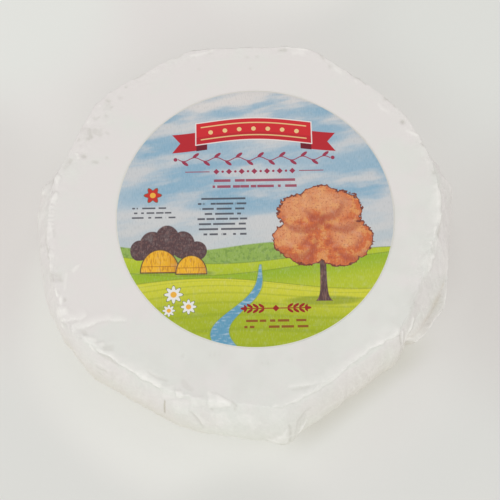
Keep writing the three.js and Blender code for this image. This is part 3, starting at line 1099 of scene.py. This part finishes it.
def stream(art):
    """A blue stream that widens as it comes nearer."""
    source = HORIZON - 9.0
    low = (source - art.v) / 40.0
    course = (art.v / 7.5 + 0.6).math("SINE") * (low * 6.0 + 2.0) + 2.0 - low * 16.0
    away = abs(art.u - course) - (low * 4.6 + 0.4)
    art.paint(away.fall(0.2, 1.1) * art.below(source) * 0.5, (120, 148, 50))
    bed = away.fall(-0.2, 0.3) * art.below(source)
    art.paint(bed, (98, 156, 186))
    ripple = art.noise(art.stretched(art.where, (0.3, 1, 1)), 1.6, 1.0)
    art.paint(bed * ripple.rise(0.5, 0.7) * 0.6, (188, 208, 218))


# Ovals that make up the tree's crown and the dark wood: middle, half width and half height
CROWN = [
    (36, -7, 20, 18), (21, -15, 11, 10), (52, -15, 11, 11), (25, 1, 12, 10), (46, 2, 12, 11), (36, 7, 11, 9),
    (28, -22, 10, 7), (45, -23, 11, 7),
]
WOOD = [(-56, -17, 7, 8), (-48, -15, 7, 9.5), (-39.5, -17, 6.5, 8), (-32, -20.5, 5.5, 5.5), (-63, -20, 5, 6)]


def autumn_tree(art):
    """A round tree in autumn leaf, at the right."""
    ragged = (art.noise(art.where, 2.6) - 0.5) * 0.5

    def crown(grown):
        nearest = None
        for u, v, wide, high in CROWN:
            reach = art.reach((art.u - u) / (wide + grown), (art.v - v) / (high + grown))
            nearest = reach if nearest is None else nearest.math("MINIMUM", reach)
        return (nearest + ragged).fall(0.99, 1.03)

    art.paint(art.oval(36, -50, 20, 2.6, 0.5) * 0.5, (98, 128, 40))
    half = ((art.v + 60) / 10.0).math("POWER", -4.0) * 2.6 + 1.7
    trunk = (abs(art.u - 36) - half).fall(-0.2, 0.2) * art.v.rise(-50.6, -50.0) * art.v.fall(-19, -18)
    art.paint(trunk, (92, 66, 66))
    grain = art.noise(art.stretched(art.where, (1, 0.2, 1)), 1.3)
    art.paint(trunk * grain.rise(0.46, 0.62) * 0.6, (150, 112, 98))
    leaves = crown(0.0)
    art.paint(crown(0.9), (122, 62, 50))
    art.paint(leaves, (208, 110, 62))
    clumps = art.noise(art.where, 6.5, 3.0, 0.6)
    art.paint(leaves * clumps.rise(0.5, 0.6) * 0.7, (228, 160, 94))
    art.paint(leaves * clumps.fall(0.36, 0.46) * 0.7, (176, 84, 60))
    for u, v, wide, high in CROWN[1:6]:
        art.paint(leaves * art.oval(u - 2.5, v + 3, wide * 0.75, high * 0.7, 0.7) * 0.5, (232, 172, 122))
        shade = art.oval(u + 1.5, v - 2.5, wide, high, 0.25) - art.oval(u, v + 1.5, wide, high, 0.25)
        art.paint(leaves * shade.math("MAXIMUM", 0.0) * 0.55, (168, 78, 58))
    art.paint(leaves * art.noise(art.where, 1.1, 1.0).rise(0.58, 0.66) * 0.55, (178, 84, 58))


def haystacks(art):
    """Yellow stacks before a dark plum wood, at the left."""
    trees = art.either(*(art.oval(*tree, 0.08) for tree in WOOD)) * art.v.rise(-26, -25.5)
    art.paint(trees, (89, 66, 68))
    art.paint(trees * art.noise(art.where, 1.8).rise(0.52, 0.62) * 0.6, (124, 92, 88))
    straw = art.noise(art.stretched(art.where, STRAW_STRETCH), 0.9, 1.0)
    for u, base, wide, high in ((-52, -32.5, 10, 12.5), (-35, -33.5, 8, 10)):
        art.paint(art.oval(u + 2, base, wide + 2, 1.6, 0.5) * 0.5, (98, 124, 40))
        edge = art.oval(u, base, wide + 0.6, high + 0.6, 0.05) * art.v.rise(base - 0.9, base - 0.5)
        art.paint(edge, (96, 70, 52))
        stack = art.oval(u, base, wide, high, 0.05) * art.v.rise(base - 0.3, base + 0.3)
        art.paint(stack, (240, 182, 42))
        art.paint(stack * straw.rise(0.5, 0.62) * 0.6, (190, 122, 34))
        art.paint(stack * (art.u - u).rise(1, wide) * 0.5, (190, 116, 40))
        art.paint(stack * art.block(u - wide, u + wide, base + 3.0, base + 3.4) * 0.7, (150, 92, 40))


def ribbon(art):
    """A plain red ribbon with folded ends."""
    height = art.v - (art.u / 17.0).math("COSINE") * 2.4
    gold = (238, 214, 150)

    def strip(left, right, middle, half):
        return art.u.between(left, right) * abs(height - middle).fall(half - 0.15, half + 0.15)

    for side in (-1, 1):
        cut = art.u * side - (abs(height - 45.5) * 0.8 + 41.0)
        tail = strip(*sorted((26.0 * side, 47.0 * side)), 45.5, 5.6) * cut.fall(-0.15, 0.15)
        art.paint(tail, (184, 38, 48))
        art.paint(strip(*sorted((26.0 * side, 32.0 * side)), 41.6, 2.0), (110, 24, 40))
    art.paint(strip(-32.6, 32.6, 50.0, 7.0), (232, 226, 222))
    art.paint(strip(-32.0, 32.0, 50.0, 6.4), (208, 42, 50))
    art.paint(strip(-32.0, 32.0, 46.0, 2.0) * 0.4, (160, 28, 44))
    for middle in (46.2, 53.8):
        art.paint(strip(-29.5, 29.5, middle, 0.35) * 0.8, gold)
    for u in range(-24, 25, 8):
        art.paint(art.oval(u, 50.0 + 2.4 * math.cos(u / 17.0), 1.3, 1.3, 0.1) * 0.85, gold)


def vine(art, middle, half, pitch, colour):
    """A thin wavy stem with a leaf on each bend and a berry at each end."""
    bends = art.wave(middle, 1.1, pitch / (2 * math.pi), 0.0)
    sprig = abs(art.v - bends).fall(0.15, 0.45)
    for side in (-1, 1):
        along = art.repeated(art.u, pitch, side * pitch / 4) - 0.7
        sprig = art.either(sprig, art.leaf(along, (art.v - middle) * side - 2.4, 2.2, 0.9, 38))
    art.paint(sprig * art.block(-half, half, middle - 4.5, middle + 4.5), colour)
    for end in (-half - 1.3, half + 1.3):
        art.paint(art.oval(end, middle, 1.1, 1.1, 0.2), colour)


def beading(art, middle, half, pitch, colour):
    """A row of diamonds and dots between two thin rules."""
    up = abs(art.v - middle)
    diamond = abs(art.repeated(art.u, pitch)) + up
    dot = art.repeated(art.u, pitch, pitch / 2)
    row = art.either(diamond.fall(1.5, 1.9), (dot * dot + up * up).fall(0.3, 0.7))
    art.paint(row * art.block(-half, half, middle - 3, middle + 3), colour)
    for side in (-1, 1):
        left, right = sorted((side * (half + 1.5), side * (half + 15)))
        art.paint(art.block(left, right, middle - 0.25, middle + 0.25), colour)


def wheat(art, u, middle, half, pitch, colour):
    """Two ears that point apart from a small tie."""
    out, up = abs(art.u - u), abs(art.v - middle)
    inside = out.fall(half - 0.2, half + 0.2)
    grains = art.leaf(art.repeated(out, pitch, half - pitch), up - 1.4, 1.9, 0.75, 34) * out.rise(6.1, 6.3)
    last = art.leaf(out - half, up, 1.9, 0.8, 0)
    tie = (out + up).fall(1.7, 2.1)
    art.paint(art.either(grains * inside, up.fall(0.15, 0.4) * inside, last, tie), colour)


WINE, INK, BROWN, RED = (156, 56, 80), (74, 74, 84), (140, 70, 34), (152, 40, 34)
YELLOW, WHITE = (236, 178, 70), (232, 232, 228)
# Rows of bars: left, right, top, lines, pitch, height and seed
BARS = [
    ((-28, 28, 21.6, 2, 3.6, 1.7, 31.0), WINE),
    ((-34, -2, 10.6, 8, 3.0, 1.3, 59.0), INK),
    ((-70, -42, 5.4, 3, 2.8, 1.1, 71.0), INK),
    ((-10, 30, -60.2, 2, 3.4, 1.5, 97.0), BROWN),
]


def small_print(art):
    vine(art, 33.8, 42.3, 12.0, WINE)
    beading(art, 26.2, 23.2, 7.0, WINE)
    wheat(art, 10, -54, 17.0, 3.1, RED)
    for rows, colour in BARS:
        art.paint(art.bars(*rows) * 0.9, colour)


def flower(art, u, v, size, petals, colour):
    """A flat flower with rounded petals."""
    across, up = art.u - u, art.v - v
    reach = art.reach(across, up) / size
    past = reach - ((up.math("ARCTAN2", across) * petals).math("COSINE") * 0.2 + 0.8)
    art.paint(past.fall(0.04, 0.12), (104, 112, 84))
    art.paint(past.fall(-0.05, 0.03), colour)
    art.paint(reach.fall(0.3, 0.38), YELLOW)


def flowers(art):
    """A red flower in the sky and white ones in the grass."""
    flower(art, -56, 12.5, 4.7, 6, (196, 52, 46))
    for u, v, size in ((-44.5, -45.5, 5.0), (-36.5, -52.5, 4.2), (-47.0, -54.5, 3.4)):
        flower(art, u, v, size, 8, WHITE)


def label_print():
    art = Picture("printed label", Roughness=0.5, IOR=1.33)
    for part in (sky, fields, stream, haystacks, autumn_tree):
        part(art)
    art.paint(art.noise(art.where, 5.0, 4.0, 0.65).rise(0.5, 0.75) * 0.1, (225, 225, 220))
    streaks = art.noise(art.stretched(art.where, STRAW_STRETCH), 0.55, 1.0)
    art.paint(streaks.rise(0.5, 0.75) * 0.08, (232, 230, 224))
    art.paint(streaks.fall(0.25, 0.5) * 0.12, (90, 110, 110))
    for part in (ribbon, small_print, flowers):
        part(art)
    bare = LABEL_RADIUS - RIM_WHITE
    art.paint(art.reach(art.u, art.v).rise(bare - 0.15, bare + 0.15), (222, 221, 212))
    art.put("Base Color", art.colour)
    art.bump(streaks, 0.00003, 0.3)
    return art.material


FLOOR_HALF_WIDTH = 1500.0


def make_floor():
    half = FLOOR_HALF_WIDTH
    points = [(-half, -half, 0), (half, -half, 0), (half, half, 0), (-half, half, 0)]
    floor = new_piece("table", points, [(0, 1, 2, 3)])
    floor.data.materials.append(floor_paint())


make_camera()
make_surroundings()
make_floor()

wrap = make_wrap()
wrap.data.materials.append(wrap_paper())
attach(wrap, "root")
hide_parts("wrapped_wheel")

loose_fold = make_loose_fold()
loose_fold.data.materials.append(wrap.data.materials[0])
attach(loose_fold, "root")
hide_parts("wrapped_wheel")

label = make_label()
label.data.materials.append(label_print())
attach(label, "root")
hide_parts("label")
